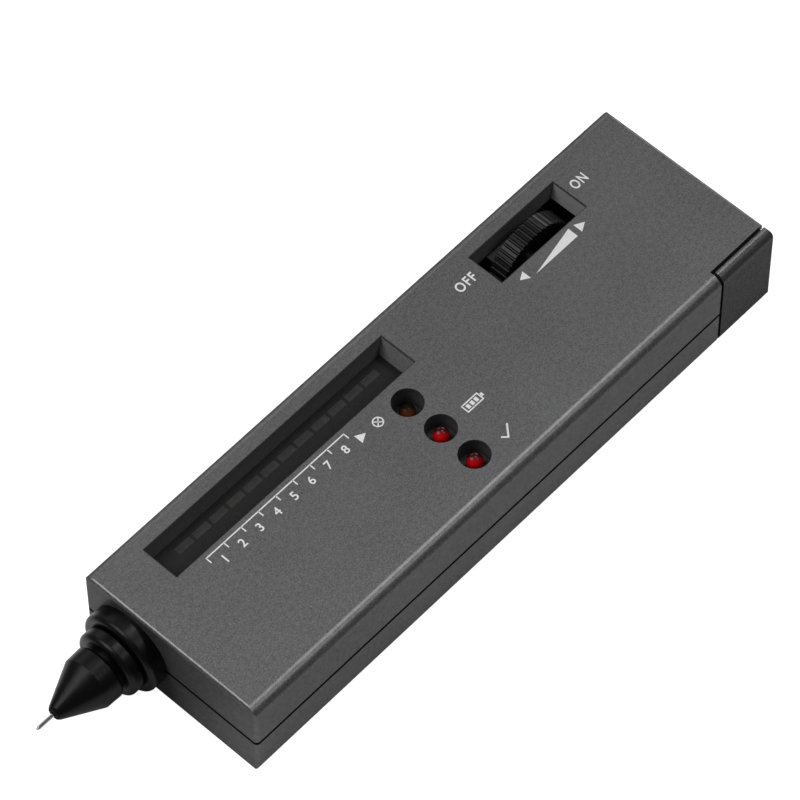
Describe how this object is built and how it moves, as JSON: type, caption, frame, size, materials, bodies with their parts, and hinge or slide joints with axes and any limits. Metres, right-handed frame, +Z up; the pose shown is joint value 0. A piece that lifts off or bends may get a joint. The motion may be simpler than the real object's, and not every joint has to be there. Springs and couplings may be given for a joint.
{
  "type": "gemstone tester pen",
  "caption": "Slim gray hand-held gemstone tester with a spring-loaded probe needle, a bar of lights, lamps, a volume thumbwheel and a pull-off battery cap.",
  "frame": {"origin": "on the resting surface, under the middle of the overall box", "axes": "+X from the needle's tip to the rear end, +Y to the side with the window and the thumbwheel, +Z up through the top panel"},
  "size_m": [0.1548, 0.04, 0.0207],
  "materials": {
    "case_gray": "satin metallic gray paint",
    "cap_charcoal": "satin charcoal",
    "nose_black": "glossy black",
    "needle_steel": "polished",
    "screw_steel": "plated",
    "carrier_plastic": "natural",
    "heater_ceramic": "glazed",
    "brass": "machined",
    "black_plastic": "satin black",
    "spring_wire": "drawn wire",
    "board_green": "solder mask",
    "bar_light": "milky diffuser",
    "smoked_pane": "smoked acrylic",
    "amber_lens": "translucent amber",
    "red_lens": "translucent red",
    "capacitor_sleeve": "shrink sleeve",
    "trimmer_blue": "moulded",
    "resistor_tan": "lacquer",
    "wheel_black": "satin black",
    "pot_case": "moulded",
    "battery_can": "printed can, plain",
    "terminal_metal": "nickel plated",
    "lead_red": "pvc",
    "lead_black": "pvc",
    "lead_white": "pvc"
  },
  "bodies": {
    "case": {"upper_case": "case_gray", "lower_case": "case_gray", "case_screws": "screw_steel", "nose_collar": "nose_black", "nose_cone": "nose_black", "probe_guide": "brass", "probe_plug": "black_plastic", "probe_spring": "spring_wire", "probe_leads": "lead_red", "main_board": "board_green", "board_screws": "screw_steel", "bar_led_frame": "black_plastic", "bar_leds": "bar_light", "window_pane": "smoked_pane", "lamp_cups": "black_plastic", "result_lamp": "amber_lens", "battery_lamp": "red_lens", "ready_lamp": "red_lens", "op_amp_chips": "black_plastic", "capacitors": "capacitor_sleeve", "trimmers": "trimmer_blue", "resistors": "resistor_tan", "beeper": "black_plastic", "potentiometer": "pot_case", "pot_board": "board_green", "control_leads": "lead_white", "battery": "battery_can", "battery_terminals": "terminal_metal", "snap_connector": "black_plastic", "red_lead": "lead_red", "black_lead": "lead_black"},
    "wheel": {"volume_wheel": "wheel_black", "wheel_screw": "screw_steel"},
    "probe": {"probe_needle": "needle_steel", "probe_carrier": "carrier_plastic", "heater_bead": "heater_ceramic"},
    "cap": {"battery_cap": "cap_charcoal"}
  },
  "joints": [
    {"name": "wheel_turn", "type": "hinge", "parent": "case", "child": "wheel", "pos_m": [0.04835, 0.012, 0.01155], "axis": [0, 1, 0], "range_deg": [0, 280]},
    {"name": "probe_press", "type": "slide", "parent": "case", "child": "probe", "axis": [1, 0, 0], "range_m": [0, 0.002], "stiffness_N_per_m": 250, "springref_m": -0.001, "deforming": ["probe_spring"]},
    {"name": "cap_pull", "type": "slide", "parent": "case", "child": "cap", "axis": [1, 0, 0], "range_m": [0, 0.025]}
  ]
}
